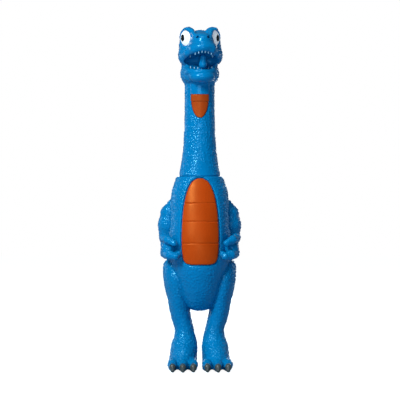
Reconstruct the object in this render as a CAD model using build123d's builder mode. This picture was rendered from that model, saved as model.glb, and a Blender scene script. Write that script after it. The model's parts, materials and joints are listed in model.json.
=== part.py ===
"""Squeaky soft-vinyl dinosaur, 300 mm tall: a hollow torso with glued-in hollow limbs and tail, and a long
hollow neck and head that snaps into the torso's collar and turns there. A reed voice unit fills the neck's stem.

The toy faces -Y and stands on Z = 0. Every piece is modelled about the neck's axis, and row_frame then moves it
so that the origin is at the middle of the footprint box. The toy's own left side is +X.
"""

from build123d import *
import os
from math import cos, radians, sin

# ---- Driving dimensions, in millimetres and degrees ----
WALL = 2.0  # thickness of the cast vinyl
GLUE_GAP = 0.1  # space between two pieces that are glued together
SWIVEL_GAP = 0.3  # free height between the turning neck and the collar
NECK_TURN = 1.0  # how far the neck is turned in its collar, to the toy's left
FACE_TURN = 5.0  # how far the face looks to the toy's left of the belly
NECK_AXIS_Y = -23.6  # the neck's axis lies ahead of the box's middle, because of the tail

# Level ellipses, as (height, centre x, centre y, half width, half depth)
COLLAR_Z = 169.6
TORSO = [
    (55.0, 0, 3.0, 6.0, 7.0),
    (58.0, 0, 2.5, 11.5, 13.0),
    (66.0, 0, 1.0, 18.0, 19.5),
    (78.0, 0, -0.5, 23.2, 24.5),
    (93.0, 0, -2.0, 26.8, 27.5),
    (110.0, 0, -2.5, 28.2, 28.6),
    (130.0, 0, -1.5, 27.2, 27.0),
    (148.0, 0, -0.5, 25.4, 24.4),
    (160.0, 0, 0, 22.8, 22.0),
    (COLLAR_Z, 0, 0, 19.4, 19.2),
]
NECK_BASE_Z = COLLAR_Z + SWIVEL_GAP
NECK = [
    (NECK_BASE_Z, 0, 0, 17.7, 17.6),
    (179.0, 0, 0, 16.1, 16.0),
    (190.0, 0, 0, 14.4, 14.3),
    (203.0, 0, 0, 13.2, 13.1),
    (220.0, 0, 0, 12.8, 12.7),
    (240.0, 0, 0, 12.8, 12.7),
    (256.0, 0, 0, 13.0, 13.2),
    (268.0, 0, 1.0, 12.0, 12.5),
]
LEG = [  # the toy's left leg
    (97.0, 24.3, 5.0, 3.6, 8.0),
    (92.0, 22.8, 4.5, 8.6, 14.5),
    (82.0, 21.2, 4.0, 10.6, 18.2),
    (70.0, 19.5, 4.5, 10.2, 17.2),
    (58.0, 17.5, 5.2, 9.4, 14.0),
    (47.0, 15.4, 6.0, 8.8, 11.2),
    (36.0, 13.0, 6.5, 8.4, 10.2),
    (26.0, 13.0, 5.5, 9.6, 11.4),
    (14.0, 14.2, 3.5, 11.4, 13.5),
    (3.0, 14.6, 3.0, 12.0, 13.5),
]
ARM = [  # the toy's left upper arm
    (150.5, 24.0, 3.0, 4.0, 6.0),
    (145.0, 25.0, 3.0, 7.4, 9.2),
    (134.0, 26.4, 3.4, 8.6, 10.6),
    (123.0, 27.6, 4.8, 8.4, 10.6),
    (112.0, 27.2, 7.0, 7.2, 9.6),
    (104.0, 26.6, 7.6, 6.2, 7.8),
    (99.0, 26.6, 7.6, 3.2, 4.4),
]

# Upright ellipses across a facing direction, as (distance forward, sideways, centre height, half width,
# half height)
UPPER_HEAD = [
    (-15.5, 0, 272.0, 6.5, 8.0),
    (-10.0, 0, 273.0, 14.5, 15.0),
    (0, 0, 275.5, 18.6, 18.5),
    (9.0, 0, 278.5, 18.4, 16.5),
    (18.0, 0, 282.0, 15.6, 12.0),
    (27.0, 0, 284.0, 13.2, 8.4),
    (33.0, 0, 283.8, 10.8, 6.8),
    (36.4, 0, 283.0, 5.5, 3.8),
]
LOWER_JAW = [
    (-7.0, 0, 262.0, 12.5, 9.0),
    (2.0, 0, 262.0, 16.8, 9.6),
    (11.0, 0, 260.8, 16.8, 8.6),
    (19.0, 0, 259.0, 14.8, 7.0),
    (26.0, 0, 257.8, 12.2, 5.2),
    (30.5, 0, 257.2, 7.0, 3.0),
]
MOUTH = [
    (3.0, 0, 268.4, 6.5, 4.4),
    (11.0, 0, 269.0, 11.5, 6.8),
    (19.0, 0, 269.8, 14.9, 7.4),
    (27.0, 0, 270.0, 16.4, 7.4),
    (40.0, 0, 270.0, 18.0, 7.8),
]
FOREARM = [  # the toy's left arm
    (-13.0, 27.0, 106.5, 3.4, 4.2),
    (-8.0, 27.2, 107.0, 6.0, 7.2),
    (2.0, 27.4, 107.5, 6.4, 7.8),
    (12.0, 27.4, 106.8, 6.2, 7.0),
    (20.0, 26.2, 106.8, 6.6, 7.2),
    (27.0, 24.2, 107.6, 6.9, 8.0),
    (32.5, 22.8, 108.2, 5.6, 6.6),
    (35.0, 22.2, 108.4, 2.6, 3.4),
]
FOOT = [  # the toy's left foot
    (-13.0, 14.4, 8.0, 5.0, 6.0),
    (-9.0, 14.4, 9.0, 10.0, 9.8),
    (0, 14.6, 10.0, 12.0, 11.6),
    (10.0, 14.6, 8.6, 12.6, 10.4),
    (20.0, 14.6, 6.2, 12.8, 8.0),
    (26.0, 14.6, 4.6, 11.4, 5.6),
]
TAIL = [  # it lies behind the neck's axis, so its distances forward are negative
    (-18.0, 0, 84.0, 15.0, 19.0),
    (-30.0, 0, 79.0, 13.4, 15.4),
    (-44.0, 0, 73.0, 10.4, 11.2),
    (-58.0, 0, 68.5, 7.4, 8.0),
    (-72.0, 0, 67.0, 4.6, 5.0),
    (-81.0, 0, 68.0, 2.4, 2.6),
    (-84.4, 0, 69.0, 1.0, 1.1),
]

# Neck swivel: a stem through the collar's rim, and a flange that snaps in under it
RIM_THICK = 3.0
STEM_R = 15.0
STEM_CLEARANCE = 0.1
FLANGE_R, FLANGE_THICK = 17.2, 2.5
STEM_BORE_R = 12.6
STEM_BOTTOM_Z = COLLAR_Z - RIM_THICK - SWIVEL_GAP - FLANGE_THICK

# Limb spigots: a hole in the torso, and a tube with a flange through it
SHOULDER_YZ, SHOULDER_R = (3.0, 138.0), 6.0
SHOULDER_IN_X, SHOULDER_OUT_X = 20.0, 28.6
HIP_YZ, HIP_R = (4.0, 82.0), 8.0
HIP_IN_X, HIP_OUT_X = 18.0, 26.8
TAIL_ROOT_Z, TAIL_ROOT_R = 82.0, 9.0
TAIL_IN, TAIL_OUT = -18.0, -27.5

# Face details, in the face's own frame: sideways, forward and height
EYE_X, EYE_FORWARD, EYE_Z = 8.6, 8.0, 291.0
EYE_R, BROW_R = 7.2, 9.0
EYELIDS = (5.2, 6.3)  # half width and half height of the opening between the eyelids
EYE_LOOK = 30.0  # how far each eyelid opening faces outwards
PUPIL_LOOK = 42.0
PUPIL = (1.5, 2.8)  # half width and half height
PUPIL_DEPTH = 0.4
PUPIL_PROUD = 0.2
NOSTRIL_X, NOSTRIL_Z, NOSTRIL_R = 5.3, 288.4, 0.9
THROAT_R = 3.6
TOOTH_R, TOOTH_LENGTH, TOOTH_ROOT, TOOTH_TAPER = 1.15, 1.8, 1.6, 10
UPPER_TEETH_X = (2.0, 5.6, 9.0, 12.0)  # on each side
LOWER_TEETH_X = (1.4, 4.2, 6.9, 9.4)
TONGUE = [
    (9.0, 0, 264.5, 2.5, 4.4),
    (16.0, 0, 266.0, 2.5, 4.8),
    (21.0, 0, 266.4, 2.3, 4.4),
    (23.6, 0, 266.2, 1.3, 2.6),
]

# Belly and throat plates
PLATE_PROUD, PLATE_SUNK = 0.8, 0.7
POCKET_DEPTH = 0.8
BELLY_OUTLINE = [  # the half on the toy's left, from the top to the bottom, as (sideways, height)
    (0, 168.0),
    (5.6, 165.6),
    (9.8, 158.0),
    (12.5, 149.0),
    (15.0, 135.0),
    (16.2, 119.0),
    (15.4, 104.0),
    (11.5, 94.6),
    (0, 92.8),
]
SCUTE_HEIGHTS = (147.0, 130.5, 111.0)
GROOVE_HALF, GROOVE_FLOOR = 0.35, 0.3
THROAT_TOP_Z, THROAT_TIP_Z, THROAT_HALF = 241.0, 220.3, 8.0
THROAT_STEP_Z = 235.2

# Toes and claws, as (distance forward, centre height, half width, half height)
TOE_X = (5.9, 14.6, 23.3)
TOE = [
    (12.0, 5.6, 4.2, 6.4),
    (22.0, 4.6, 4.2, 4.9),
    (28.0, 4.1, 4.1, 4.4),
    (31.6, 3.8, 3.3, 3.7),
    (33.2, 3.7, 1.5, 1.9),
]
CLAW = [
    (30.0, 4.4, 2.3, 2.6),
    (32.5, 4.0, 2.3, 2.8),
    (35.0, 3.2, 1.8, 2.2),
    (37.2, 2.2, 0.7, 0.9),
]

# Voice unit, a tube glued into the stem, with a reed that swings through a slot in its deck
VOICE_R, VOICE_WALL = STEM_BORE_R - GLUE_GAP, 1.5
VOICE_FLANGE_R, VOICE_FLANGE_THICK = 14.6, 1.6
VOICE_BOTTOM_Z = STEM_BOTTOM_Z - GLUE_GAP - VOICE_FLANGE_THICK
VOICE_TOP_Z = 178.0
DECK_Z, DECK_THICK = 171.0, 1.4
DECK_TOP_Z = DECK_Z + DECK_THICK
SLOT_START, SLOT_END, SLOT_WIDTH = -4.6, 8.6, 4.6
REED_START, REED_END, REED_WIDTH, REED_THICK = -8.0, 8.0, 3.8, 0.3
REED_GAP = 0.25
REED_TUNNEL = REED_THICK + 2 * REED_GAP
CLAMP_START, CLAMP_END, CLAMP_WIDTH, CLAMP_THICK = -8.4, -5.0, 7.0, 1.2
CAP_THICK = 1.2
CAP_HOLE_R, CAP_HOLE_RING_R = 1.4, 6.5


def facing(angle):
    """The upright plane through the neck's axis whose normal looks forward, turned to the toy's left."""
    a = radians(angle)
    return Plane(origin=(0, 0, 0), x_dir=(cos(a), sin(a), 0), z_dir=(sin(a), -cos(a), 0))


BODY = facing(0)
FRONT = facing(NECK_TURN)
FACE = facing(FACE_TURN)


def level_loft(sections, inset=0.0, mode=Mode.ADD):
    """Lofts level ellipses, each made smaller by the inset. The end sections move inwards by it too."""
    low = min(s[0] for s in sections)
    high = max(s[0] for s in sections)
    rings = []
    for z, x, y, half_width, half_depth in sections:
        z += inset * (z == low) - inset * (z == high)
        with BuildSketch(Plane.XY.offset(z)) as ring:
            with Locations((x, y)):
                Ellipse(half_width - inset, half_depth - inset)
        rings.append(ring.sketch)
    loft(rings, mode=mode)


def facing_loft(plane, sections, inset=0.0, mode=Mode.ADD):
    """Lofts upright ellipses across the plane's normal, made smaller in the same way."""
    first = min(s[0] for s in sections)
    last = max(s[0] for s in sections)
    rings = []
    for forward, x, z, half_width, half_height in sections:
        forward += inset * (forward == first) - inset * (forward == last)
        with BuildSketch(plane.offset(forward)) as ring:
            with Locations((x, z)):
                Ellipse(half_width - inset, half_height - inset)
        rings.append(ring.sketch)
    loft(rings, mode=mode)


def post(plane, at, radius, start, end, mode=Mode.ADD):
    """A round post or hole along a plane's normal, between two distances from the plane."""
    with BuildSketch(plane.offset(start)) as disc:
        with Locations(at):
            Circle(radius)
    extrude(disc.sketch, amount=end - start, mode=mode)


def in_face(x, forward, z):
    """A point of the face's frame, in the toy's frame."""
    return FACE.from_local_coords((x, z, forward))


# ---- Reference forms: the torso's outer surface, for cutting what is glued onto it ----
with BuildPart() as torso_form:
    level_loft(TORSO, inset=-GLUE_GAP)

with BuildPart() as torso_standoff:
    level_loft(TORSO, inset=-GLUE_GAP - WALL)


def belly_block():
    """A block with the belly plate's outline: a narrow round top, widest low down, and a flat round bottom."""
    with BuildSketch(BODY) as outline:
        with BuildLine():
            Spline(*BELLY_OUTLINE, tangents=((1, 0), (-1, 0)), tangent_scalars=(0.3, 0.3))
            mirror(about=Plane.YZ)
        make_face()
    extrude(outline.sketch, amount=40)


# ---- Torso ----
with BuildPart() as belly_pocket:
    belly_block()
    level_loft(TORSO, inset=POCKET_DEPTH, mode=Mode.SUBTRACT)

with BuildPart() as torso_shell:
    level_loft(TORSO)
    rim_bottom = COLLAR_Z - RIM_THICK
    cavity = [s for s in TORSO if s[0] < COLLAR_Z] + [(rim_bottom + WALL, 0, 0, 20.6, 20.2)]
    level_loft(cavity, inset=WALL, mode=Mode.SUBTRACT)
    post(Plane.XY, (0, 0), STEM_R + STEM_CLEARANCE, rim_bottom - 1, COLLAR_Z + 1, mode=Mode.SUBTRACT)
    post(Plane.YZ, SHOULDER_YZ, SHOULDER_R, -40, 40, mode=Mode.SUBTRACT)
    post(Plane.YZ, HIP_YZ, HIP_R, -40, 40, mode=Mode.SUBTRACT)
    post(BODY, (0, TAIL_ROOT_Z), TAIL_ROOT_R, -40, -12, mode=Mode.SUBTRACT)
    add(belly_pocket.part, mode=Mode.SUBTRACT)

with BuildPart() as scute_grooves:
    for height in SCUTE_HEIGHTS:
        with Locations((0, -20, height)):
            Box(50, 40, 2 * GROOVE_HALF)
    level_loft(TORSO, inset=-GROOVE_FLOOR, mode=Mode.SUBTRACT)

with BuildPart() as belly_plate:
    belly_block()
    level_loft(TORSO, inset=-PLATE_PROUD, mode=Mode.INTERSECT)
    level_loft(TORSO, inset=PLATE_SUNK, mode=Mode.SUBTRACT)
    add(scute_grooves.part, mode=Mode.SUBTRACT)

# ---- Limbs and tail: hollow, shaped to the torso, each with a tubular spigot glued into the torso's hole ----
with BuildPart() as arm_cavity:
    level_loft(ARM, inset=WALL)
    facing_loft(BODY, FOREARM, inset=WALL)
    add(torso_standoff.part, mode=Mode.SUBTRACT)

with BuildPart() as left_arm:
    level_loft(ARM)
    facing_loft(BODY, FOREARM)
    add(torso_form.part, mode=Mode.SUBTRACT)
    add(arm_cavity.part, mode=Mode.SUBTRACT)
    post(Plane.YZ, SHOULDER_YZ, SHOULDER_R - GLUE_GAP, SHOULDER_IN_X, SHOULDER_OUT_X)
    post(Plane.YZ, SHOULDER_YZ, SHOULDER_R - WALL, SHOULDER_IN_X, SHOULDER_OUT_X + 1, mode=Mode.SUBTRACT)

with BuildPart() as right_arm:
    add(left_arm.part)
    mirror(about=Plane.YZ, mode=Mode.REPLACE)


def claw(x, gap=0.0, mode=Mode.ADD):
    """One claw of the toy's left foot, or the socket for it when there is a gap."""
    facing_loft(BODY, [(forward, x, z, half_w, half_h) for forward, z, half_w, half_h in CLAW], -gap, mode)


def toe(x):
    """One toe of the toy's left foot."""
    facing_loft(BODY, [(forward, x, z, half_w, half_h) for forward, z, half_w, half_h in TOE])


with BuildPart() as leg_cavity:
    level_loft(LEG, inset=WALL)
    facing_loft(BODY, FOOT, inset=WALL)
    add(torso_standoff.part, mode=Mode.SUBTRACT)
    split(bisect_by=Plane.XY.offset(WALL), keep=Keep.TOP)

with BuildPart() as left_leg:
    level_loft(LEG)
    facing_loft(BODY, FOOT)
    for toe_x in TOE_X:
        toe(toe_x)
    split(bisect_by=Plane.XY, keep=Keep.TOP)
    add(torso_form.part, mode=Mode.SUBTRACT)
    add(leg_cavity.part, mode=Mode.SUBTRACT)
    for toe_x in TOE_X:
        claw(toe_x, GLUE_GAP, Mode.SUBTRACT)
    post(Plane.YZ, HIP_YZ, HIP_R - GLUE_GAP, HIP_IN_X, HIP_OUT_X)
    post(Plane.YZ, HIP_YZ, HIP_R - WALL, HIP_IN_X, HIP_OUT_X + 1, mode=Mode.SUBTRACT)

with BuildPart() as right_leg:
    add(left_leg.part)
    mirror(about=Plane.YZ, mode=Mode.REPLACE)

claws = {}
for number, toe_x in enumerate(TOE_X, 1):
    with BuildPart() as left_claw:
        claw(toe_x)
    with BuildPart() as right_claw:
        claw(-toe_x)
    claws[f"left_claw_{number}"] = left_claw
    claws[f"right_claw_{number}"] = right_claw

with BuildPart() as tail_cavity:
    facing_loft(BODY, TAIL[:-2], inset=WALL)
    add(torso_standoff.part, mode=Mode.SUBTRACT)

with BuildPart() as tail:
    facing_loft(BODY, TAIL)
    add(torso_form.part, mode=Mode.SUBTRACT)
    add(tail_cavity.part, mode=Mode.SUBTRACT)
    post(BODY, (0, TAIL_ROOT_Z), TAIL_ROOT_R - GLUE_GAP, TAIL_OUT, TAIL_IN)
    post(BODY, (0, TAIL_ROOT_Z), TAIL_ROOT_R - WALL, TAIL_OUT - 1, TAIL_IN, mode=Mode.SUBTRACT)


# ---- Head and neck ----
def eye_plane(side, outwards):
    """The plane through an eye's middle whose normal is turned outwards. The toy's left side is +1."""
    look = facing(FACE_TURN + side * outwards)
    return Plane(origin=in_face(side * EYE_X, EYE_FORWARD, EYE_Z), x_dir=look.x_dir, z_dir=look.z_dir)


def eyeball(side, radius, mode=Mode.ADD):
    """A ball about an eye's middle."""
    with Locations(in_face(side * EYE_X, EYE_FORWARD, EYE_Z)):
        Sphere(radius, mode=mode)


def oval_post(plane, half_width, half_height, length, mode=Mode.ADD):
    """An oval post from a plane along its normal."""
    with BuildSketch(plane) as oval:
        Ellipse(half_width, half_height)
    extrude(oval.sketch, amount=length, mode=mode)


with BuildPart() as throat_block:
    with BuildSketch(FRONT) as throat_outline:
        with BuildLine():
            Polyline((0, THROAT_TOP_Z), (THROAT_HALF, THROAT_TOP_Z), (THROAT_HALF, THROAT_STEP_Z))
            Line((THROAT_HALF, THROAT_STEP_Z), (THROAT_HALF - 0.5, THROAT_STEP_Z))
            Spline(
                (THROAT_HALF - 0.5, THROAT_STEP_Z),
                (THROAT_HALF - 1.8, THROAT_STEP_Z - 8),
                (0, THROAT_TIP_Z),
                tangents=((0, -1), (-1, 0)),
            )
            mirror(about=Plane.YZ)
        make_face()
    extrude(amount=30)

with BuildPart() as head_cavity:
    level_loft(NECK, inset=WALL)
    facing_loft(FACE, UPPER_HEAD, inset=WALL)
    facing_loft(FACE, LOWER_JAW, inset=WALL)
    facing_loft(FACE, MOUTH, inset=-WALL, mode=Mode.SUBTRACT)
    for side in (1, -1):
        eyeball(side, EYE_R + WALL, mode=Mode.SUBTRACT)
    add(throat_block.part, mode=Mode.SUBTRACT)

with BuildPart() as throat_pocket:
    add(throat_block.part)
    level_loft(NECK, inset=POCKET_DEPTH, mode=Mode.SUBTRACT)

with BuildPart() as throat_plate:
    add(throat_block.part)
    level_loft(NECK, inset=-PLATE_PROUD, mode=Mode.INTERSECT)
    level_loft(NECK, inset=PLATE_SUNK, mode=Mode.SUBTRACT)

def mouth_rim(x, rise):
    """The height of the mouth's edge, above its middle when rise is +1 and below it when rise is -1."""
    _, _, middle, half_width, half_height = MOUTH[-2]
    return middle + rise * half_height * (1 - (x / half_width) ** 2) ** 0.5


def tooth(x, forward, height, rise):
    """A six-sided tooth whose root is sunk in the jaw. It points up when rise is +1."""
    root = in_face(x, forward, height - rise * TOOTH_ROOT)
    with BuildSketch(Plane(origin=root, x_dir=FACE.x_dir, z_dir=(0, 0, rise))) as base:
        RegularPolygon(TOOTH_R, 6)
    extrude(base.sketch, amount=TOOTH_ROOT + TOOTH_LENGTH, taper=TOOTH_TAPER)


with BuildPart() as head_neck_shell:
    level_loft(NECK)
    facing_loft(FACE, UPPER_HEAD)
    facing_loft(FACE, LOWER_JAW)
    for side in (1, -1):
        eyeball(side, BROW_R)
    facing_loft(FACE, MOUTH, mode=Mode.SUBTRACT)
    for side in (1, -1):
        for x in UPPER_TEETH_X:
            tooth(side * x, 31 - 0.075 * x**2, mouth_rim(x, 1), -1)
        for x in LOWER_TEETH_X:
            tooth(side * x, 27.4 - 0.075 * x**2, mouth_rim(x, -1), 1)
    facing_loft(FACE, TONGUE)
    add(head_cavity.part, mode=Mode.SUBTRACT)
    for side in (1, -1):
        eyeball(side, EYE_R + GLUE_GAP, mode=Mode.SUBTRACT)
        oval_post(eye_plane(side, EYE_LOOK), *EYELIDS, 15, mode=Mode.SUBTRACT)
        post(FACE, (side * NOSTRIL_X, NOSTRIL_Z), NOSTRIL_R, 32.6, 40, mode=Mode.SUBTRACT)
    post(FACE, (0, MOUTH[0][2] + 1.5), THROAT_R, -2, MOUTH[0][0] + 1, mode=Mode.SUBTRACT)
    add(throat_pocket.part, mode=Mode.SUBTRACT)
    post(Plane.XY, (0, 0), STEM_R, STEM_BOTTOM_Z, NECK_BASE_Z + WALL)
    post(Plane.XY, (0, 0), FLANGE_R, STEM_BOTTOM_Z, STEM_BOTTOM_Z + FLANGE_THICK)
    post(Plane.XY, (0, 0), STEM_BORE_R, STEM_BOTTOM_Z - 1, NECK_BASE_Z + 2 * WALL, mode=Mode.SUBTRACT)

eyes = {}
for name, side in (("left", 1), ("right", -1)):
    with BuildPart() as pupil_recess:
        oval_post(eye_plane(side, PUPIL_LOOK), PUPIL[0] + GLUE_GAP, PUPIL[1] + GLUE_GAP, 15)
        eyeball(side, EYE_R - PUPIL_DEPTH, mode=Mode.SUBTRACT)
    with BuildPart() as eye:
        eyeball(side, EYE_R)
        add(pupil_recess.part, mode=Mode.SUBTRACT)
    with BuildPart() as pupil:
        oval_post(eye_plane(side, PUPIL_LOOK), *PUPIL, 15)
        eyeball(side, EYE_R + PUPIL_PROUD, mode=Mode.INTERSECT)
        eyeball(side, EYE_R - PUPIL_DEPTH, mode=Mode.SUBTRACT)
    eyes[f"{name}_eye"] = eye
    eyes[f"{name}_pupil"] = pupil


# ---- Voice unit ----
def slab(start, end, width, bottom, thickness, mode=Mode.ADD):
    """A flat block along X, centred on Y."""
    with Locations(((start + end) / 2, 0, bottom + thickness / 2)):
        Box(end - start, width, thickness, mode=mode)


with BuildPart() as voice_housing:
    post(Plane.XY, (0, 0), VOICE_R, VOICE_BOTTOM_Z, VOICE_TOP_Z)
    post(Plane.XY, (0, 0), VOICE_FLANGE_R, VOICE_BOTTOM_Z, VOICE_BOTTOM_Z + VOICE_FLANGE_THICK)
    post(Plane.XY, (0, 0), VOICE_R - VOICE_WALL, VOICE_BOTTOM_Z - 1, DECK_Z, mode=Mode.SUBTRACT)
    post(Plane.XY, (0, 0), VOICE_R - VOICE_WALL, DECK_TOP_Z, VOICE_TOP_Z + 1, mode=Mode.SUBTRACT)
    slab(SLOT_START, SLOT_END, SLOT_WIDTH, DECK_Z - 1, DECK_THICK + 2, mode=Mode.SUBTRACT)

with BuildPart() as voice_clamp:
    slab(CLAMP_START, CLAMP_END, CLAMP_WIDTH, DECK_TOP_Z, REED_TUNNEL + CLAMP_THICK)
    slab(CLAMP_START - 1, CLAMP_END + 1, REED_WIDTH + 0.3, DECK_TOP_Z - 1, REED_TUNNEL + 1, Mode.SUBTRACT)

with BuildPart() as voice_reed:
    slab(REED_START, REED_END, REED_WIDTH, DECK_TOP_Z + REED_GAP, REED_THICK)

with BuildPart() as voice_cap:
    post(Plane.XY, (0, 0), VOICE_R, VOICE_TOP_Z + GLUE_GAP, VOICE_TOP_Z + GLUE_GAP + CAP_THICK)
    with BuildSketch(Plane.XY.offset(VOICE_TOP_Z)):
        with PolarLocations(CAP_HOLE_RING_R, 6):
            Circle(CAP_HOLE_R)
        Circle(CAP_HOLE_R)
    extrude(amount=3 * CAP_THICK, mode=Mode.SUBTRACT)


# ---- Export, in the row's frame ----
pieces = {
    "torso_shell": torso_shell,
    "belly_plate": belly_plate,
    "left_arm": left_arm,
    "right_arm": right_arm,
    "left_leg": left_leg,
    "right_leg": right_leg,
    **claws,
    "tail": tail,
    "head_neck_shell": head_neck_shell,
    "throat_plate": throat_plate,
    **eyes,
    "voice_housing": voice_housing,
    "voice_clamp": voice_clamp,
    "voice_reed": voice_reed,
    "voice_cap": voice_cap,
}
row_frame = Location((0, NECK_AXIS_Y, 0))
os.makedirs("parts", exist_ok=True)
for name, piece in pieces.items():
    placed = piece.part.moved(row_frame)
    placed.label = name
    export_step(placed, f"parts/{name}.step")
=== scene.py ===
"""Squeaky soft-vinyl dinosaur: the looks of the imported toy.

The skins are modelled as smooth solids (fields that are negative inside), given in millimetres about the
neck's axis, with x to the toy's left, y to its back and z up. surface() turns a field into a mesh, settle()
moves its points onto the field's surface, and moulded pebbles are then raised on them. to_frame() moves the
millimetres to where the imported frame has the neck.
"""

import json
from functools import partial
from itertools import combinations

import bpy
import numpy as np
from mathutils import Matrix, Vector


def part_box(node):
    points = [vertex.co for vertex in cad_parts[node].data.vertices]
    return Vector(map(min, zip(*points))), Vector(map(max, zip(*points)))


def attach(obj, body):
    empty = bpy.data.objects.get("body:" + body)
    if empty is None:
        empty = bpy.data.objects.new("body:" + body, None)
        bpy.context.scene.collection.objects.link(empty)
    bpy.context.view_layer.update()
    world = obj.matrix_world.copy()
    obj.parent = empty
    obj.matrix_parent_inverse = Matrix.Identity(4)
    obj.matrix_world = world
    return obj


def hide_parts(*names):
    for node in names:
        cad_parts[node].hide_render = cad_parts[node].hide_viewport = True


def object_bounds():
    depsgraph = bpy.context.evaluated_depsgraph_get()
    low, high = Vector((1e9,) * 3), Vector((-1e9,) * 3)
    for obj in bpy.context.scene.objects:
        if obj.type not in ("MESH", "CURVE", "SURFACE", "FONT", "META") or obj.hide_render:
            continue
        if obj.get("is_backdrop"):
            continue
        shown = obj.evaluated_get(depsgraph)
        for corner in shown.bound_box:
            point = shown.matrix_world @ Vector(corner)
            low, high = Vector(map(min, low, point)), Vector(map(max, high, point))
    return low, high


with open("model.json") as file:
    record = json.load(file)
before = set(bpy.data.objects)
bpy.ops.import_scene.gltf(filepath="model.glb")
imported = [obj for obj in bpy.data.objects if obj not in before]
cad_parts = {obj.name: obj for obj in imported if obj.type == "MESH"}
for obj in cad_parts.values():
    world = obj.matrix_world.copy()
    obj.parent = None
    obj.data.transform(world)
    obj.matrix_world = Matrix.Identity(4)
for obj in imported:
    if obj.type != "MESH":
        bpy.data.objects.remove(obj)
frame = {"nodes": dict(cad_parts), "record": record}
CAD_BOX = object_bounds()
RECORD = frame["record"]

# ---- Places taken from the frame ----
JOINTS = {j["name"]: j for j in RECORD["behaviour"]["joints"]}
NECK_AXIS = np.array(JOINTS["neck_swivel"]["pos_m"][:2] + [0.0])
HEIGHT = CAD_BOX[1][2] * 1000
COLLAR_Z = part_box("torso_shell")[1][2] * 1000
NECK_BASE_Z = COLLAR_Z + 0.1  # the skin of the neck starts just above the collar

# ---- Driving dimensions, in millimetres and degrees ----
FACE_TURN = 5.0  # the face looks this far to the toy's left
EYE = {
    "x": 13.9,
    "forward": 12.6,
    "z": 290.2,
    "turn": -3.5,  # the pair of eyes stands this far back from the face's turn
    "look": 41.0,  # each eye looks this far outwards
    "radius": 12.0,
    "half": (5.7, 7.0),  # half width and half height of the opening in the lids
    "pocket": 3.4,  # depth of the pocket in the skin behind the eyeball's front
}
LID = {"back": 5.4, "up": 0.9, "radii": (7.9, 7.0, 8.9)}
PUPIL = {"out": 2.4, "half": (2.3, 3.1), "proud": 0.12}
MOUTH = {"half": 15.8, "middle": 270.0, "rise": 7.3, "drop": 6.6, "back": 6.0}
PLATE_PROUD = 0.8  # how far the belly plate stands out of the torso's skin
SCUTES = (146.2, 130.3, 111.4)  # heights of the seams across the belly plate
CROTCH_Z = 52.2
THROAT = {"half": 8.0, "top": 241.2, "step": 235.2, "tip": 220.4, "proud": 0.8}
TOES = ((6.1, -23.5, -31.0), (15.2, -25.5, -33.0), (24.0, -23.5, -31.0))  # centre x, knuckle y, tip y
TOE_GAPS = (10.6, 19.6)  # centre x of the gaps between the toes
STEM = {"radius": 15.0, "length": 5.8, "flange": 17.2, "bore": 12.6}  # the neck's stem in the collar
PEBBLE = {"size": 2.3, "belly_size": 2.6, "height": 0.42, "belly_height": 0.4, "face_height": 0.46}
SHARP_ANGLE = 50.0  # edges sharper than this are shaded as edges
SIDES = ((1, "left"), (-1, "right"))
TEETH = (  # piece, number of teeth, half width of the row, way up from the mouth's middle, length
    ("upper_teeth", 8, 9.8, 1, 1.3),
    ("lower_teeth", 9, 12.4, -1, 1.1),
)

# Level ellipses: height, centre x, centre y, half width, half depth
TORSO = (
    (47.0, 0, 3.4, 5.0, 6.0),
    (52.5, 0, 3.0, 9.6, 10.0),
    (58.0, 0, 2.2, 13.6, 14.6),
    (66.5, 0, 1.0, 17.6, 19.4),
    (78.0, 0, -0.5, 21.2, 24.0),
    (89.0, 0, -1.6, 24.6, 27.0),
    (100.0, 0, -2.4, 26.6, 28.4),
    (112.0, 0, -2.4, 27.2, 28.6),
    (130.0, 0, -1.5, 26.2, 27.0),
    (148.0, 0, -0.5, 25.3, 24.6),
    (158.0, 0, 0, 24.0, 22.6),
    (165.0, 0, 0, 21.6, 20.8),
    (COLLAR_Z + 1, 0, 0, 19.9, 19.9),
)
NECK = (
    (NECK_BASE_Z - 1, 0, 0, 18.2, 18.2),
    (176.0, 0, 0, 16.9, 16.9),
    (187.0, 0, 0, 15.1, 15.1),
    (198.0, 0, 0, 14.1, 14.1),
    (210.0, 0, 0, 13.4, 13.4),
    (232.0, 0, 0, 12.9, 12.9),
    (252.0, 0, 0, 12.8, 12.8),
    (266.0, 0, 1.0, 12.2, 12.6),
)
LEG = (  # the toy's left leg
    (99.0, 24.6, 5.0, 4.4, 8.0),
    (93.0, 23.2, 4.8, 8.2, 13.5),
    (84.0, 21.6, 4.0, 10.2, 17.5),
    (70.0, 19.7, 4.4, 10.2, 17.0),
    (60.0, 18.2, 5.0, 9.3, 14.5),
    (52.0, 17.3, 5.5, 8.8, 12.4),
    (42.0, 15.1, 6.0, 8.5, 10.4),
    (36.0, 13.4, 6.0, 8.2, 9.8),
    (31.0, 12.8, 5.8, 8.9, 10.0),
    (26.0, 12.9, 5.2, 9.7, 10.8),
    (18.0, 13.8, 4.0, 10.9, 12.4),
    (9.0, 14.5, 3.0, 12.0, 13.4),
    (-3.0, 14.8, 3.0, 12.2, 13.4),
)
TAIL = (  # distance behind the neck's axis, centre x, centre height, half width, half height
    (14.0, 0, 85.0, 15.0, 19.0),
    (30.0, 0, 79.0, 13.2, 15.2),
    (44.0, 0, 73.0, 10.2, 11.0),
    (58.0, 0, 68.5, 7.2, 7.8),
    (72.0, 0, 67.0, 4.4, 4.8),
    (80.0, 0, 68.0, 2.6, 2.8),
    (86.0, 0, 69.4, 1.2, 1.3),
)

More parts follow.
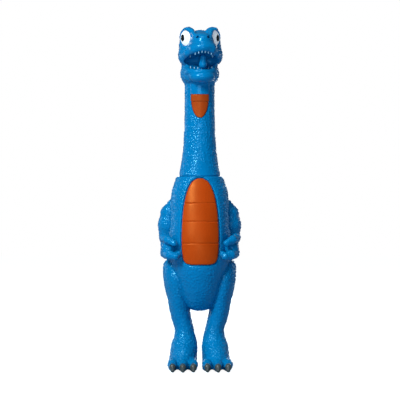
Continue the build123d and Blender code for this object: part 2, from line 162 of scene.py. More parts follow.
# Round-ended limbs of the toy's left side: paths of (x, y, z, radius)
UPPER_ARM = ((24.4, 4.0, 145.4, 4.0), (26.8, 4.4, 137.6, 7.2), (27.8, 4.8, 127.0, 7.7))
LOWER_ARM = ((27.8, 4.8, 127.0, 7.7), (27.8, 5.4, 117.5, 7.3), (26.8, 4.8, 107.4, 6.6))
FOREARM = ((26.6, 5.0, 106.8, 6.6), (27.4, -7.0, 106.4, 6.0), (27.4, -18.0, 107.0, 6.0))
UPPER_FINGER = ((31.6, -13.0, 116.0, 3.8), (28.2, -24.0, 114.6, 3.4), (22.6, -28.0, 111.6, 2.6))
LOWER_FINGER = ((29.4, -14.0, 103.0, 5.0), (26.6, -26.2, 101.4, 3.8), (21.6, -29.4, 100.4, 3.0))
FINGER_TIP = ((21.6, -29.4, 100.4, 3.0), (18.8, -28.4, 102.6, 2.2))
INSTEP = ((13.4, 2.0, 20.0, 10.4), (14.4, -8.0, 12.0, 9.4), (15.0, -16.0, 7.0, 7.4))

# The head in the face's frame: ellipsoids as (centre, radii, fillet), in pairs where x isn't 0
CRANIUM = ((0, 0, 277.6), (16.6, 17.0, 17.6))
SKULL_FORMS = (
    ((0, 4.0, 266.0), (14.0, 13.6, 14.0), 6.0),  # nape
    ((0, -4.0, 287.2), (12.6, 14.0, 10.6), 2.0),  # crown
    ((11.4, -3.0, 284.0), (6.8, 10.0, 9.0), 2.0),  # temples
    ((11.0, -6.0, 275.2), (8.4, 10.5, 9.0), 3.0),  # cheeks
    ((8.7, -0.5, 259.4), (8.1, 12.5, 9.6), 3.0),  # jowls
    ((0, -9.5, 260.4), (15.0, 16.5, 6.8), 3.0),  # lower jaw
    ((0, -12.0, 284.0), (11.6, 15.0, 8.0), 2.0),  # forehead
    ((0, -21.0, 281.2), (12.7, 14.2, 6.4), 2.0),  # upper jaw
    ((0, -19.0, 288.0), (9.0, 12.8, 6.4), 4.0),  # snout
)
CHIN_FORMS = (
    ((0, -8.0, 256.0), (14.5, 13.0, 6.2), 2.0),  # under the jaw
    ((0, -18.6, 256.0), (11.4, 10.6, 5.9), 1.2),  # chin
)
NOSTRIL = ((4.9, -28.8, 289.9), (1.4, 4.6, 1.15))
BROW = ((12.6, -12.0, 297.2, 2.2), (8.4, -15.0, 295.6, 2.1), (6.6, -22.0, 291.6, 1.7))
UPPER_LIP = (
    (0, -31.5, 280.6, 3.0),
    (7.5, -28.5, 279.2, 3.2),
    (12.0, -20.5, 276.6, 3.4),
    (14.4, -11.0, 273.6, 3.4),
)
TONGUE = ((0.8, -10.0, 263.0, 3.2), (0.8, -19.0, 266.6, 3.0), (0.8, -20.5, 273.0, 2.5))
PLATE_OUTLINE = (  # height, half width; the first and the last row are its ends
    (92.5, 0.0),
    (93.0, 10.0),
    (93.8, 12.3),
    (95.6, 14.1),
    (98.0, 15.3),
    (102.0, 16.0),
    (113.0, 16.6),
    (124.0, 16.4),
    (134.5, 15.8),
    (145.5, 14.4),
    (156.0, 11.9),
    (161.5, 9.6),
    (165.0, 7.2),
    (167.0, 4.8),
    (168.2, 0.0),
)


# ---- Fields ----
def curve(rows):
    """Smooth curves through a table's rows, as a function of its first column."""
    rows = np.array(rows, dtype=float)
    at, values = rows[:, 0], rows[:, 1:]
    rate = np.gradient(values, at, axis=0)
    fine = np.linspace(at[0], at[-1], 40 * len(at))
    i = np.clip(np.searchsorted(at, fine, side="right") - 1, 0, len(at) - 2)
    span = (at[i + 1] - at[i])[:, None]
    s = (fine - at[i])[:, None] / span
    table = (
        (1 + 2 * s) * (1 - s) ** 2 * values[i]
        + s * (1 - s) ** 2 * span * rate[i]
        + s * s * (3 - 2 * s) * values[i + 1]
        + s * s * (s - 1) * span * rate[i + 1]
    )
    return lambda t: [np.interp(t, fine, column) for column in table.T]


def join(a, b, k):
    """Union with a fillet about k wide."""
    h = np.clip(0.5 + 0.5 * (b - a) / k, 0, 1)
    return b * (1 - h) + a * h - k * h * (1 - h)


def common(a, b, k):
    """Intersection with a rounded edge about k wide."""
    return -join(-a, -b, k)


def oval(du, dv, ru, rv):
    """About the distance from an ellipse with half sizes ru and rv."""
    q = np.sqrt((du / ru) ** 2 + (dv / rv) ** 2) + 1e-6
    steepness = np.sqrt((du / ru**2) ** 2 + (dv / rv**2) ** 2) + 1e-6
    return q * (q - 1) / steepness


def stack(p, shape, along=2):
    """A body through a stack of ellipses: level ones, or upright ones when it lies along y."""
    across = 1 if along == 2 else 2
    cu, cv, ru, rv = shape(p[:, along])
    return oval(p[:, 0] - cu, p[:, across] - cv, np.maximum(ru, 0.3), np.maximum(rv, 0.3))


def ball(p, centre, radii):
    """An ellipsoid."""
    d = p - np.array(centre)
    r = np.array(radii, dtype=float)
    q = np.linalg.norm(d / r, axis=1) + 1e-6
    return q * (q - 1) / (np.linalg.norm(d / r**2, axis=1) + 1e-6)


def limb(p, path, k=1.5):
    """Round cones through a path of (x, y, z, radius), joined with fillets about k wide."""
    field = None
    for (*a, ra), (*b, rb) in zip(path, path[1:]):
        a, b = np.array(a), np.array(b)
        t = np.clip((p - a) @ (b - a) / ((b - a) @ (b - a)), 0, 1)
        part = np.linalg.norm(p - a - t[:, None] * (b - a), axis=1) - (ra + (rb - ra) * t)
        field = part if field is None else join(field, part, k)
    return field


def turned(p, angle):
    """Points seen from a frame that is turned to the toy's left by an angle."""
    c, s = np.cos(np.radians(angle)), np.sin(np.radians(angle))
    return np.stack([p[:, 0] * c + p[:, 1] * s, -p[:, 0] * s + p[:, 1] * c, p[:, 2]], axis=1)


def one_side(p, side):
    """Points with x measured towards one side of the toy."""
    return p * np.array([side, 1, 1])


def flipped(box):
    """A box on the toy's other side."""
    low, high = box
    return (-high[0], *low[1:]), (-low[0], *high[1:])


def step(low, high, value):
    """A smooth step from 0 at low to 1 at high."""
    s = np.clip((value - low) / (high - low), 0, 1)
    return s * s * (3 - 2 * s)


TORSO_CURVE, NECK_CURVE = curve(TORSO), curve(NECK)
LEG_CURVE, TAIL_CURVE = curve(LEG[::-1]), curve(TAIL)
OUTLINE_CURVE = curve(PLATE_OUTLINE[1:-1])


def plate_gap(p):
    """About the distance outside the belly plate's outline, seen from the front."""
    low, high = PLATE_OUTLINE[0][0], PLATE_OUTLINE[-1][0]
    (half,) = OUTLINE_CURVE(p[:, 2])
    side = np.abs(p[:, 0]) - half
    ends = np.maximum(p[:, 2] - high, low - p[:, 2])
    return np.where(p[:, 1] < -4, common(side, ends, 3.0), 9.0)


def torso(p):
    """The trunk, cut level at the collar and rounded under the crotch."""
    body = stack(p, TORSO_CURVE)
    body = common(body, p[:, 2] - COLLAR_Z, 1.0)
    crotch = CROTCH_Z - p[:, 2] + 0.02 * p[:, 0] ** 2
    return common(body, crotch, 3.0)


def arm(p, side):
    """An arm bent at the elbow, with two fingers that point inwards."""
    q = one_side(p, side)
    deep = q * np.array([1, 0.8, 1])  # the arm above the elbow is deeper than it is wide
    field = join(limb(deep, UPPER_ARM), limb(deep, LOWER_ARM), 4.0)
    field = join(field, limb(q, FOREARM), 3.0)
    field = join(field, limb(q, UPPER_FINGER, 1.0), 1.4)
    field = join(field, limb(q, LOWER_FINGER, 1.0), 1.4)
    return join(field, limb(q, FINGER_TIP, 1.0), 0.8)


def leg(p, side):
    """A leg with its foot, which has three toes, on the ground."""
    q = one_side(p, side)
    field = stack(q, LEG_CURVE)
    field = common(field, q[:, 2] - 97.5, 5.0)
    field = join(field, limb(q, INSTEP, 3.0), 4.0)
    foot = ball(q, (14.9, -9.0, 3.6), (12.2, 16.0, 9.0))
    field = join(field, foot, 3.0)
    for x, knuckle, tip in TOES:
        root = (15.0 + 0.8 * (x - 15.0), -10.0, 7.4, 5.0)
        toe = limb(q, (root, (x, knuckle, 6.4, 3.9), (x, tip, 4.9, 2.9)), 1.0)
        field = join(field, toe, 1.2)
    for gap in TOE_GAPS:
        web = limb(q, ((gap, -44.0, 0.4, 3.2), (gap, -14.0, -0.7, 2.7), (gap, 4.0, -2.2, 2.2)))
        field = common(field, -web, 1.0)
    return common(field, -q[:, 2], 1.0)


def tail(p):
    """The tail, which starts inside the torso."""
    field = stack(p, TAIL_CURVE, along=1)
    return common(field, np.maximum(12.0 - p[:, 1], p[:, 1] - 84.2), 1.5)


LIMBS = {  # name: its field and the fillet where it meets the torso
    "left_arm": (partial(arm, side=1), 0.9),
    "right_arm": (partial(arm, side=-1), 0.9),
    "left_leg": (partial(leg, side=1), 1.6),
    "right_leg": (partial(leg, side=-1), 1.6),
    "tail": (tail, 7.0),
}


def whole(parts):
    """The one smooth skin of the torso and of the limbs that are given."""
    joined = parts["torso"]
    for name, (_, fillet) in LIMBS.items():
        if name in parts:
            joined = join(joined, parts[name], fillet)
    return joined


def body_part(name, near):
    """A part's share of the whole skin: where it is the nearest of the parts that come near it."""

    def field(p):
        parts = {"torso": torso(p)}
        for other in near:
            parts[other] = LIMBS[other][0](p)
        all_round = whole(parts)
        others = np.min([value for key, value in parts.items() if key != name], axis=0)
        share = np.maximum(all_round, parts[name] - others)
        return torso_details(p, share, all_round) if name == "torso" else share

    return field


def torso_details(p, share, all_round):
    """The torso with a recess for the belly plate, a groove round it, and the hole for the neck's stem."""
    gap = plate_gap(p)
    groove = 0.9 * np.exp(-((gap / 0.75) ** 2)) + 0.9 * (gap < 0)
    share = np.maximum(share, all_round + groove)
    hole = np.where(p[:, 2] > COLLAR_Z - 3, STEM["radius"] + 0.2, STEM["flange"] + 1.0)
    hollow = hole - np.hypot(p[:, 0], p[:, 1])
    return np.maximum(share, np.where(p[:, 2] > 158, hollow, -9.0))


# ---- Head ----
def throat_band(p):
    """How far inside the raised band down the throat a point is seen from the front."""
    x, z = p[:, 0], p[:, 2]
    half = THROAT["half"] - 0.54 * step(0.2, -0.2, z - THROAT["step"])
    drop = np.clip((THROAT["step"] - 1 - z) / (THROAT["step"] - 1 - THROAT["tip"]), 0, 1)
    half = half * np.sqrt(np.clip(1 - drop**1.6, 0, 1))
    return np.where((p[:, 1] < 0) & (z > THROAT["tip"]), half - np.abs(x), -9.0)


def throat_patch(p):
    """How far inside the orange part of the band a point is seen from the front."""
    return np.minimum(throat_band(p), THROAT["top"] - p[:, 2])


def neck(p):
    """The neck with its throat band, which fades out under the chin."""
    field = stack(p, NECK_CURVE)
    field = field - THROAT["proud"] * step(-0.35, 0.35, throat_band(p)) * step(257, 250, p[:, 2])
    return common(field, np.maximum(NECK_BASE_Z - p[:, 2], p[:, 2] - 264), 0.8)


def mouth(q):
    """The open mouth, in the face's frame."""
    x, forward, z = q[:, 0], -q[:, 1], q[:, 2]
    open_ = 0.5 + 0.7 * step(MOUTH["back"], MOUTH["back"] + 12, forward) - 0.2 * step(24, 29, forward)
    spread = np.clip(np.abs(x) / MOUTH["half"], 0, 1.2)
    roof = z - (MOUTH["middle"] + MOUTH["rise"] * open_ * (1 - spread**2))
    floor = (MOUTH["middle"] - MOUTH["drop"] * open_ * (1 - spread**4)) - z
    gap = common(roof, floor, 1.0)
    side = np.abs(x) - MOUTH["half"] * (0.72 + 0.28 * step(MOUTH["back"], MOUTH["back"] + 7, forward))
    return common(common(gap, side, 2.0), MOUTH["back"] - forward, 3.0)


def eye_axes(q, side):
    """Points about an eye's middle: across, out along its look, and up."""
    d = turned(q, EYE["turn"]) - np.array([side * EYE["x"], -EYE["forward"], EYE["z"]])
    d = turned(d, side * EYE["look"])
    return d[:, 0], -d[:, 1], d[:, 2]


def eye_bulge(q, side):
    """The lids round an eye, before the opening is cut in them."""
    return ball(np.stack(eye_axes(q, side), axis=1), (0, -LID["back"], LID["up"]), LID["radii"])


def eye_opening(q, side):
    """The oval pocket in the lids that the eyeball sits in."""
    across, out, up = eye_axes(q, side)
    return common(oval(across, up, *EYE["half"]), -(out + EYE["pocket"]), 0.3)


def eyeball(q, side):
    """The whole round eyeball."""
    across, out, up = eye_axes(q, side)
    return np.sqrt(across**2 + (out + EYE["radius"]) ** 2 + up**2) - EYE["radius"]


def head(p):
    """The head on its neck, with the mouth, the eyes' pockets and the nostrils cut in."""
    q = turned(p, FACE_TURN)
    mirrored = np.stack([np.abs(q[:, 0]), q[:, 1], q[:, 2]], axis=1)
    field = ball(q, *CRANIUM)
    for centre, radii, fillet in SKULL_FORMS:
        field = join(field, ball(mirrored, centre, radii), fillet)
    field = join(field, limb(mirrored, BROW), 1.6)
    field = join(field, limb(mirrored, UPPER_LIP, 2.0), 2.0)
    for centre, radii, fillet in CHIN_FORMS:
        field = join(field, ball(mirrored, centre, radii), fillet)
    for side in (1, -1):
        field = join(field, eye_bulge(q, side), 1.4)
    field = join(field, neck(p), 2.4)
    field = common(field, -mouth(q), 0.9)
    field = join(field, limb(q, TONGUE, 2.0), 1.0)
    for side in (1, -1):
        field = common(field, -eye_opening(q, side), 0.9)
    return common(field, -ball(mirrored, *NOSTRIL), 0.7)


def head_and_neck(p):
    """The head and the neck, with the stem in the collar, its bore, and a recess for the throat's patch."""
    radius, z = np.hypot(p[:, 0], p[:, 1]), p[:, 2]
    stem = np.maximum(radius - STEM["radius"], COLLAR_Z - STEM["length"] - z)
    flange = np.maximum(radius - STEM["flange"], np.abs(z - COLLAR_Z + 4.55) - 1.25)
    stem = np.maximum(np.minimum(stem, flange), z - NECK_BASE_Z - 2)
    above = np.where(z > NECK_BASE_Z - 3, head(p), 9.0)
    bore = np.maximum(radius - STEM["bore"], z - 181)
    field = np.maximum(np.minimum(above, stem), -bore)
    return np.where(throat_patch(p) > 0, np.maximum(field, radius - 11.6), field)


# ---- Meshing ----
BLOCK = 6  # points along each side of a block of the grid
BATCH = 400000  # points worked out at a time, which bounds the memory in use


def sample(field, low, high, spacing):
    """A field's values on a grid of blocks. Only those near the surface are filled in point by point."""
    blocks = np.ceil((np.array(high) - low) / (spacing * BLOCK)).astype(int)
    middles = (np.indices(blocks).reshape(3, -1).T + 0.5) * BLOCK * spacing + low
    values = field(middles).reshape(blocks)
    for axis in range(3):
        values = values.repeat(BLOCK, axis)
    near = np.argwhere(np.abs(values) < BLOCK * spacing * 1.6)
    for points in np.array_split(near, len(near) // BATCH + 1):
        values[tuple(points.T)] = field(points * spacing + low)
    return values


def surface(field, low, high, spacing):
    """The mesh round where a field is negative, by surface nets: one point in each cell that it crosses."""
    low = np.array(low, dtype=float)
    values = sample(field, low, high, spacing)
    inside = values < 0
    shape = np.array(values.shape) - 1
    corners = np.array(list(np.ndindex(2, 2, 2)))
    count = np.zeros(shape, dtype=np.uint8)
    for i, j, k in corners:
        count += inside[i : i + shape[0], j : j + shape[1], k : k + shape[2]]
    cells = np.argwhere((count > 0) & (count < 8))
    at = np.stack([values[tuple((cells + corner).T)] for corner in corners], axis=1)
    total, crossings = np.zeros((len(cells), 3)), np.zeros(len(cells))
    for a, b in combinations(range(8), 2):
        if np.abs(corners[a] - corners[b]).sum() == 1:
            crossed = (at[:, a] < 0) != (at[:, b] < 0)
            t = np.where(crossed, at[:, a] / np.where(crossed, at[:, a] - at[:, b], 1), 0)
            total += crossed[:, None] * (corners[a] + t[:, None] * (corners[b] - corners[a]))
            crossings += crossed
    points = (cells + total / crossings[:, None]) * spacing + low
    return points, net(cells, inside)


def net(cells, inside):
    """The quads between the crossed cells, one round each crossed edge of the grid."""
    shape = np.array(inside.shape) - 1
    number = np.full(shape, -1, dtype=np.int64)
    number[tuple(cells.T)] = np.arange(len(cells))
    quads = []
    for axis in range(3):
        u, v = (axis + 1) % 3, (axis + 2) % 3
        ahead = np.roll(inside, -1, axis)
        edge = np.argwhere(inside != ahead)
        edge = edge[(edge[:, axis] < shape[axis]) & (edge[:, u] > 0) & (edge[:, v] > 0)]
        edge = edge[(edge[:, u] < shape[u]) & (edge[:, v] < shape[v])]
        du, dv = np.eye(3, dtype=int)[u], np.eye(3, dtype=int)[v]
        shifts = (du + dv, dv, 0 * du, du)
        quad = np.stack([number[tuple((edge - shift).T)] for shift in shifts], axis=1)
        outwards = inside[tuple(edge.T)]
        quad[~outwards] = quad[~outwards][:, ::-1]
        quads.append(quad)
    return np.concatenate(quads)


def slope(field, points, reach=0.15):
    """A field's values and gradients at points."""
    value = field(points)
    gradient = np.stack([(field(points + reach * e) - value) / reach for e in np.eye(3)], axis=1)
    return value, gradient


def settle(field, points, rounds=2):
    """Moves points onto a field's surface, and returns them with the surface's normals."""
    for _ in range(rounds):
        value, gradient = slope(field, points)
        size = np.maximum((gradient**2).sum(axis=1), 0.2)
        points = points - np.clip(value / size, -0.4, 0.4)[:, None] * gradient
    _, gradient = slope(field, points)
    return points, gradient / (np.linalg.norm(gradient, axis=1, keepdims=True) + 1e-9)


def scatter(cell):
    """Three numbers from -1 to 1 for each cell of a grid, always the same for the same cell."""
    mixed = cell[:, 0] * 73856093 ^ cell[:, 1] * 19349663 ^ cell[:, 2] * 83492791
    waves = [np.sin(mixed % 100003 * k) * 43758.5 for k in (0.131, 0.217, 0.311)]
    return np.stack([np.modf(wave)[0] for wave in waves], axis=1)


def pebbles(p, size):
    """Rounded cells of uneven size, from 0 in the grooves between them to 1 on top."""
    q = p / size
    home = np.floor(q).astype(np.int64)
    nearest = np.full(len(p), 9.0)
    second = np.full(len(p), 9.0)
    for offset in np.ndindex(3, 3, 3):
        cell = home + np.array(offset) - 1
        distance = np.linalg.norm(cell + 0.5 + 0.44 * scatter(cell) - q, axis=1)
        second = np.where(distance < nearest, nearest, np.minimum(second, distance))
        nearest = np.minimum(nearest, distance)
    return step(0.0, 0.5, second - nearest) * (1 - 0.9 * np.clip(nearest, 0, 1) ** 2)


def to_frame(points):
    """Millimetres about the neck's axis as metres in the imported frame."""
    return points / 1000 + NECK_AXIS


def piece(name, points, quads, material, body, node, slot):
    """A mesh object in the frame that rides on a body, and hides the node that it stands in for if one is
    given.
    """
    mesh = bpy.data.meshes.new(name)
    mesh.vertices.add(len(points))
    mesh.vertices.foreach_set("co", to_frame(points).ravel())
    mesh.loops.add(quads.size)
    mesh.loops.foreach_set("vertex_index", quads.ravel())
    mesh.polygons.add(len(quads))
    mesh.polygons.foreach_set("loop_start", np.arange(0, quads.size, 4))
    mesh.update(calc_edges=True)
    mesh.validate()
    mesh.shade_smooth()
    mesh.set_sharp_from_angle(angle=np.radians(SHARP_ANGLE))
    mesh.materials.append(material)
    obj = bpy.data.objects.new(name, mesh)
    bpy.context.scene.collection.objects.link(obj)
    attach(obj, body)
    if node:
        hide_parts(node)


def skin(name, field, box, spacing, relief=None, **where):
    """Meshes a field inside a box, settles it, and raises its moulded relief if it has one."""
    points, quads = surface(field, *box, spacing)
    points, normals = settle(field, points)
    if relief:
        points = points + normals * relief(points)[:, None]
    piece(name, points, quads, **where)


# ---- Materials ----
GLOSSY, SATIN = (0.15, 0.23), (0.34, 0.44)  # ranges of roughness
RIPPLE, EVEN = 0.000012, 0.000006  # depths of the surface's ripple, in metres
SKY, EMBER = (0.2, 0.7, 1.0), (1.0, 0.45, 0.12)  # tints of the highlights


def material(name):
    """A new material, its nodes and links, and its main shader."""
    made = bpy.data.materials.new(name)
    made.use_nodes = True
    nodes, links = made.node_tree.nodes, made.node_tree.links
    return made, nodes, links, nodes["Principled BSDF"]


def noise(nodes, links, scale, detail=3.0):
    """A noise texture on the object's own coordinates, in metres."""
    place = nodes.new("ShaderNodeTexCoord")
    texture = nodes.new("ShaderNodeTexNoise")
    texture.inputs["Scale"].default_value = scale
    texture.inputs["Detail"].default_value = detail
    links.new(place.outputs["Object"], texture.inputs["Vector"])
    return texture.outputs["Fac"]


def spread(nodes, links, source, low, high):
    """Maps a noise's middle range onto a range of values."""
    node = nodes.new("ShaderNodeMapRange")
    node.inputs["From Min"].default_value = 0.3
    node.inputs["From Max"].default_value = 0.7
    node.inputs["To Min"].default_value = low
    node.inputs["To Max"].default_value = high
    links.new(source, node.inputs["Value"])
    return node.outputs["Result"]


def tint(nodes, links, source, dark, light):
    """A colour that wanders between two."""
    ramp = nodes.new("ShaderNodeValToRGB")
    ramp.color_ramp.elements[0].position = 0.3
    ramp.color_ramp.elements[1].position = 0.7
    ramp.color_ramp.elements[0].color = (*dark, 1)
    ramp.color_ramp.elements[1].color = (*light, 1)
    links.new(source, ramp.inputs["Fac"])
    return ramp.outputs["Color"]


def vinyl(name, dark, light, rough=GLOSSY, shine=(1, 1, 1), ripple=RIPPLE, glow=0.0):
    """Moulded plastic with a slightly uneven colour, gloss and surface. A glow above 0 is painted light: the
    plastic gives off light of its own.
    """
    made, nodes, links, shader = material(name)
    links.new(tint(nodes, links, noise(nodes, links, 45.0), dark, light), shader.inputs["Base Color"])
    links.new(spread(nodes, links, noise(nodes, links, 160.0), *rough), shader.inputs["Roughness"])
    shader.inputs["Specular Tint"].default_value = (*shine, 1)
    shader.inputs["IOR"].default_value = 1.5
    shader.inputs["Emission Strength"].default_value = glow
    shader.inputs["Specular IOR Level"].default_value = 0.4
    bump = nodes.new("ShaderNodeBump")
    bump.inputs["Distance"].default_value = ripple
    bump.inputs["Strength"].default_value = 0.6
    links.new(noise(nodes, links, 700.0, 2.0), bump.inputs["Height"])
    links.new(bump.outputs["Normal"], shader.inputs["Normal"])
    return made


BLUE = vinyl("blue_vinyl", (0.0, 0.147, 0.38), (0.0, 0.168, 0.43), shine=SKY)
ORANGE = vinyl("orange_vinyl", (0.35, 0.039, 0.002), (0.4, 0.046, 0.003), SATIN, EMBER)
# The throat patch gets a darker copy of the belly plate's orange. This is painted shade for the head's
# shadow over the throat.
SHADED_THROAT_ORANGE = vinyl("shaded_throat_orange", (0.3, 0.04, 0.005), (0.35, 0.048, 0.006), (0.3, 0.4), EMBER)
CLAW = vinyl("claw_grey", (0.034, 0.048, 0.052), (0.05, 0.066, 0.07), (0.25, 0.35))
# The eye whites glow (emission 0.26), which is painted light: it brightens them where the lamps leave them
# in shade.
GLOWING_EYE_WHITE = vinyl("eye_white", (0.62, 0.68, 0.74), (0.66, 0.72, 0.78), (0.12, 0.2), ripple=EVEN, glow=0.26)
BLACK = vinyl("pupil_black", (0.004, 0.004, 0.005), (0.008, 0.008, 0.01), (0.08, 0.14), ripple=EVEN)
TOOTH = vinyl("tooth_blue", (0.16, 0.38, 0.58), (0.22, 0.46, 0.66), (0.2, 0.3))
MOULDED = vinyl("voice_plastic", (0.62, 0.62, 0.6), (0.7, 0.7, 0.68), (0.4, 0.55))
FILM = vinyl("reed_film", (0.5, 0.46, 0.32), (0.56, 0.52, 0.38), (0.25, 0.35))


# ---- Body skins ----
def body_relief(name):
    """Pebbles, longer on the belly, that fade out round the plate, at the collar and at the soles."""

    def relief(p):
        z = p[:, 2]
        calm = np.maximum(step(2.5, 0.6, plate_gap(p)), step(COLLAR_Z - 1.5, COLLAR_Z - 0.5, z))
        height = PEBBLE["height"] * pebbles(p, PEBBLE["size"])
        if name == "torso":
            belly = step(4, -10, p[:, 1]) * step(104, 92, z) * step(25, 15, np.abs(p[:, 0]))
            soft = PEBBLE["belly_height"] * pebbles(p, PEBBLE["belly_size"])
            height = height * (1 - belly) + soft * belly
        height = height * (1 + 0.25 * step(36, 26, z))  # rougher on the feet
        return height * (1 - calm) * step(0.2, 1.6, z)

    return relief


LEFT_ARM_BOX = ((14, -36, 94), (40, 18, 154))
LEFT_LEG_BOX = ((-1, -38, -2), (36, 26, 100))
BODY_SKINS = {  # name: the node, the limbs that come near it, and the box that it is meshed in
    "torso": ("torso_shell", tuple(LIMBS), ((-30, -34, 52), (30, 30, 172))),
    "left_arm": ("left_arm", ("left_arm", "left_leg"), LEFT_ARM_BOX),
    "right_arm": ("right_arm", ("right_arm", "right_leg"), flipped(LEFT_ARM_BOX)),
    "left_leg": ("left_leg", ("left_arm", "left_leg", "tail"), LEFT_LEG_BOX),
    "right_leg": ("right_leg", ("right_arm", "right_leg", "tail"), flipped(LEFT_LEG_BOX)),
    "tail": ("tail", ("left_leg", "right_leg", "tail"), ((-18, 10, 56), (18, 87, 108))),
}


def make_body():
    where = {"material": BLUE, "body": "body", "slot": "blue_vinyl"}
    for name, (node, near, box) in BODY_SKINS.items():
        skin(f"{node}_skin", body_part(name, near), box, 0.5, body_relief(name), node=node, **where)


def belly_plate(p):
    """The belly plate, with a rounded edge and a groove at each seam."""
    seam = np.min([np.abs(p[:, 2] - height) for height in SCUTES], axis=0)
    proud = PLATE_PROUD - 0.45 * np.exp(-((seam / 0.45) ** 2))
    out = stack(p, TORSO_CURVE)
    return common(common(out - proud, 0.45 + plate_gap(p), 1.2), -(out + 0.8), 0.3)


def make_plate():
    box = ((-19, -34, 91), (19, -8, 170))
    where = {"body": "body", "node": "belly_plate", "slot": "orange_vinyl"}
    skin("belly_plate_skin", belly_plate, box, 0.4, material=ORANGE, **where)


def claw(p, side, x, tip):
    """The claw in the tip of a toe, flat underneath."""
    q = one_side(p, side)
    nail = limb(q, ((x, tip + 1.4, 6.0, 2.4), (x, tip - 1.8, 5.0, 2.5), (x, tip - 3.2, 2.2, 1.8)))
    return common(nail, 0.15 - q[:, 2], 0.5)


def make_claws():
    where = {"material": CLAW, "body": "body", "slot": "claw_grey"}
    for side, name in SIDES:
        for number, (x, _, tip) in enumerate(TOES, 1):
            low = np.array([side * x - 3.4, tip - 6.0, -0.5])
            box = (low, low + (6.8, 10.4, 9.5))
            node = f"{name}_claw_{number}"
            skin(f"{node}_skin", partial(claw, side=side, x=x, tip=tip), box, 0.25, node=node, **where)


# ---- Head skins ----
def head_calm(p):
    """How smooth the skin is: 1 on the lips, lids, chin, throat and neck's base, and 0 elsewhere."""
    q = turned(p, FACE_TURN)
    x, forward, z = np.abs(q[:, 0]), -q[:, 1], q[:, 2]
    muzzle = step(262, 266, z) * step(287, 285, z)
    calm = [
        step(24, 28, forward) * muzzle,
        step(8, 14, forward) * step(13.6, 11.6, x) * muzzle,
        step(14, 18, forward) * step(12.4, 11.0, x) * step(264, 262, z),  # chin
        step(3.0, 1.5, mouth(q)),
        step(-1.2, 0.0, throat_band(p)),
        step(NECK_BASE_Z + 1.2, NECK_BASE_Z + 0.4, z),
    ]
    for side, _ in SIDES:
        across, out, up = eye_axes(q, side)
        from_lids = np.sqrt((across * 1.25) ** 2 + (up - 0.7) ** 2)
        calm.append(step(9.6, 7.6, from_lids) * step(-9, -6, out))
    return np.max(calm, axis=0)


def head_relief(p):
    """Pebbles on the head and the neck, a little higher on the head."""
    height = np.where(p[:, 2] > 252, PEBBLE["face_height"], PEBBLE["height"])
    return height * pebbles(p, PEBBLE["size"]) * (1 - head_calm(p))


def throat_plate(p):
    """The orange patch in the throat's band, with a ledge across its top."""
    out = stack(p, NECK_CURVE)
    ledge = 0.5 * step(THROAT["step"] - 0.3, THROAT["step"] + 0.1, p[:, 2])
    raised = out - THROAT["proud"] - ledge + 0.2
    return common(common(raised, 0.1 - throat_patch(p), 0.9), -(out + 1.2), 0.3)


def make_head():
    box = ((-23, -40, COLLAR_Z - 7), (23, 22, HEIGHT + 4))
    where = {"body": "head_neck", "node": "head_neck_shell", "slot": "blue_vinyl"}
    skin("head_neck_skin", head_and_neck, box, 0.45, head_relief, material=BLUE, **where)
    box = ((-10, -16, THROAT["tip"] - 1), (10, -5, THROAT["top"] + 1))
    where = {"body": "head_neck", "node": "throat_plate", "slot": "orange_vinyl"}
    skin("throat_plate_skin", throat_plate, box, 0.3, material=SHADED_THROAT_ORANGE, **where)


def eye_white(p, side):
    """The front of an eyeball, inside the opening in its lids."""
    q = turned(p, FACE_TURN)
    across, out, up = eye_axes(q, side)
    rim = oval(across, up, *EYE["half"]) + 0.1
    return np.maximum(common(eyeball(q, side), rim, 0.4), -(out + 3.2))


def pupil(p, side):
    """A thin oval on the white of the eye, towards the outside of the head."""
    q = turned(p, FACE_TURN)
    across, _, up = eye_axes(q, side)
    mark = oval(across - side * PUPIL["out"], up, *PUPIL["half"])
    front = eyeball(q, side)
    return np.maximum(common(front - PUPIL["proud"], mark, 0.15), -(front + 0.5))


def make_eyes():
    reach = np.array([11, 11, 9])
    kinds = (("eye", eye_white, GLOWING_EYE_WHITE, "eye_white"), ("pupil", pupil, BLACK, "pupil_black"))
    for side, name in SIDES:
        middle = np.array([side * EYE["x"], -EYE["forward"], EYE["z"]])
        box = (middle - reach, middle + reach)
        for kind, shape, colour, slot in kinds:
            node = f"{name}_{kind}"
            where = {"material": colour, "body": "head_neck", "node": node, "slot": slot}
            skin(f"{node}_skin", partial(shape, side=side), box, 0.25, **where)


def lip_front(x, z):
    """How far forward the head's skin lies, in the face's frame."""
    forward = np.arange(8, 40, 0.1)
    q = np.stack([np.full_like(forward, x), -forward, np.full_like(forward, z)], axis=1)
    return forward[head(turned(q, -FACE_TURN)) < 0].max()


def tooth_roots(count, half, rise):
    """Places along the edge of the upper jaw (rise 1) or of the lower jaw (rise -1)."""
    roots = []
    for x in np.linspace(-half, half, count):
        across = x / MOUTH["half"]
        edge = MOUTH["rise"] * (1 - across**2) if rise > 0 else -MOUTH["drop"] * (1 - across**4)
        z = MOUTH["middle"] + edge
        roots.append((x, -lip_front(x, z + rise * 0.5) + 1.1, z))
    return roots


def teeth(p, roots, rise, length):
    """A row of small pointed teeth, in the face's frame."""
    q = turned(p, FACE_TURN)
    row = [limb(q, ((x, y, z + rise * 0.6, 0.8), (x, y, z - rise * length, 0.35))) for x, y, z in roots]
    return np.min(row, axis=0)


def make_teeth():
    box = ((-16, -36, 258), (20, -12, 282))
    where = {"material": TOOTH, "body": "head_neck", "node": None, "slot": "blue_vinyl"}
    for name, count, half, rise, length in TEETH:
        roots = tooth_roots(count, half, rise)
        skin(name, partial(teeth, roots=roots, rise=rise, length=length), box, 0.25, **where)


def dress_frame():
    """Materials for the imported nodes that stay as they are."""
    looks = {"voice_housing": MOULDED, "voice_clamp": MOULDED, "voice_cap": MOULDED, "voice_reed": FILM}
    for node, look in looks.items():
        frame["nodes"][node].material_slots[0].material = look


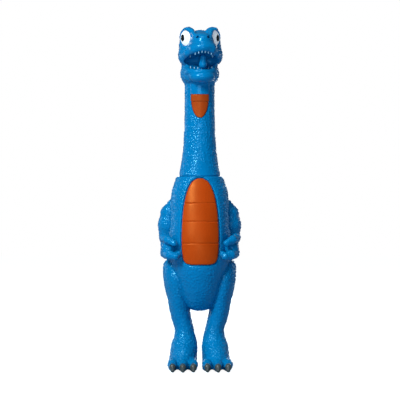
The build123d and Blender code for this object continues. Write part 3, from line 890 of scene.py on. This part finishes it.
# ---- Studio, in metres and watts ----
AIM = (0, 0, 0.15)  # the middle of the toy, which the lights point at
LIGHTS = (  # name, place, size, power, colour
    ("key", (-0.8, -1.15, 1.0), (0.3, 0.45), 27.5, (1, 1, 0.93)),
    ("top", (-0.2, -0.6, 1.5), (0.6, 0.6), 5, (1, 1, 0.96)),
    ("fill", (-0.1, -1.5, 0.1), (0.6, 0.8), 6.8, (1, 0.94, 1)),
    ("rim_left", (-1.15, 0.95, 0.3), (0.3, 0.9), 2.5, (0.5, 0.8, 1)),
    ("rim_right", (1.15, 0.95, 0.3), (0.3, 0.9), 1.4, (0.5, 0.8, 1)),
    ("back", (0.1, 1.5, 0.2), (0.8, 0.8), 9, (0.85, 0.95, 1)),
)
ROOM = {"colour": (0.45, 0.75, 1, 1), "strength": 0.16}
FLOOR = {"reach": 4, "dark": (0.26, 0.42, 0.54), "light": (0.29, 0.45, 0.58), "glow": 0.97}
CAMERA = {"lens": 205.4, "distance": 2.0, "x": 0.0003, "height": 0.149, "swing": 1.2}


def make_lights():
    for name, place, size, power, colour in LIGHTS:
        data = bpy.data.lights.new(name, "AREA")
        data.shape = "RECTANGLE"
        data.size, data.size_y = size
        data.energy = power
        data.color = colour
        light = bpy.data.objects.new(name, data)
        light.location = place
        light.rotation_euler = (Vector(AIM) - Vector(place)).to_track_quat("-Z", "Y").to_euler()
        bpy.context.scene.collection.objects.link(light)


def make_world():
    """White behind the object, and a dimmer room for the light that falls on it."""
    world = bpy.data.worlds.new("studio")
    world.use_nodes = True
    nodes, links = world.node_tree.nodes, world.node_tree.links
    room = nodes["Background"]
    room.inputs["Color"].default_value = ROOM["colour"]
    room.inputs["Strength"].default_value = ROOM["strength"]
    seen = nodes.new("ShaderNodeBackground")
    seen.inputs["Color"].default_value = (1, 1, 1, 1)
    rays = nodes.new("ShaderNodeLightPath")
    mix = nodes.new("ShaderNodeMixShader")
    links.new(rays.outputs["Is Camera Ray"], mix.inputs["Fac"])
    links.new(room.outputs["Background"], mix.inputs[1])
    links.new(seen.outputs["Background"], mix.inputs[2])
    links.new(mix.outputs["Shader"], nodes["World Output"].inputs["Surface"])
    bpy.context.scene.world = world


def make_floor():
    """A floor that looks white to the camera and is dimmer and bluer for the light that falls on the toy."""
    made, nodes, links, shader = material("studio_floor")
    wander = noise(nodes, links, 3.0)
    links.new(tint(nodes, links, wander, FLOOR["dark"], FLOOR["light"]), shader.inputs["Base Color"])
    shader.inputs["Roughness"].default_value = 0.9
    shader.inputs["Specular IOR Level"].default_value = 0.0
    shader.inputs["Emission Color"].default_value = (1, 1, 1, 1)
    rays = nodes.new("ShaderNodeLightPath")
    lift = nodes.new("ShaderNodeMath")
    lift.operation = "MULTIPLY"
    lift.inputs[1].default_value = FLOOR["glow"]
    links.new(rays.outputs["Is Camera Ray"], lift.inputs[0])
    links.new(lift.outputs["Value"], shader.inputs["Emission Strength"])
    reach = FLOOR["reach"]
    corners = [(-reach, -reach, 0), (reach, -reach, 0), (reach, reach, 0), (-reach, reach, 0)]
    mesh = bpy.data.meshes.new("floor")
    mesh.from_pydata(corners, [], [(0, 1, 2, 3)])
    mesh.materials.append(made)
    floor = bpy.data.objects.new("floor", mesh)
    bpy.context.scene.collection.objects.link(floor)
    floor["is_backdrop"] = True


def make_camera():
    """A long lens level with the toy's middle, swung a little to the toy's right."""
    data = bpy.data.cameras.new("camera")
    data.lens = CAMERA["lens"]
    data.sensor_width = 36.0
    camera = bpy.data.objects.new("camera", data)
    swing = np.radians(CAMERA["swing"])
    pivot = Vector((CAMERA["x"], NECK_AXIS[1], CAMERA["height"]))
    back = Vector((-np.sin(swing), -np.cos(swing), 0))
    camera.location = pivot + CAMERA["distance"] * back
    camera.rotation_euler = (np.pi / 2, 0, -swing)
    bpy.context.scene.collection.objects.link(camera)
    bpy.context.scene.camera = camera


bpy.context.scene.view_settings.view_transform = "Standard"
make_camera()
make_floor()
make_world()
make_lights()
make_body()
make_plate()
make_claws()
make_head()
make_eyes()
make_teeth()
dress_frame()

boxes = {"cad": CAD_BOX, "visual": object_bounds()}
{key: [list(corner) for corner in value] for key, value in boxes.items()}
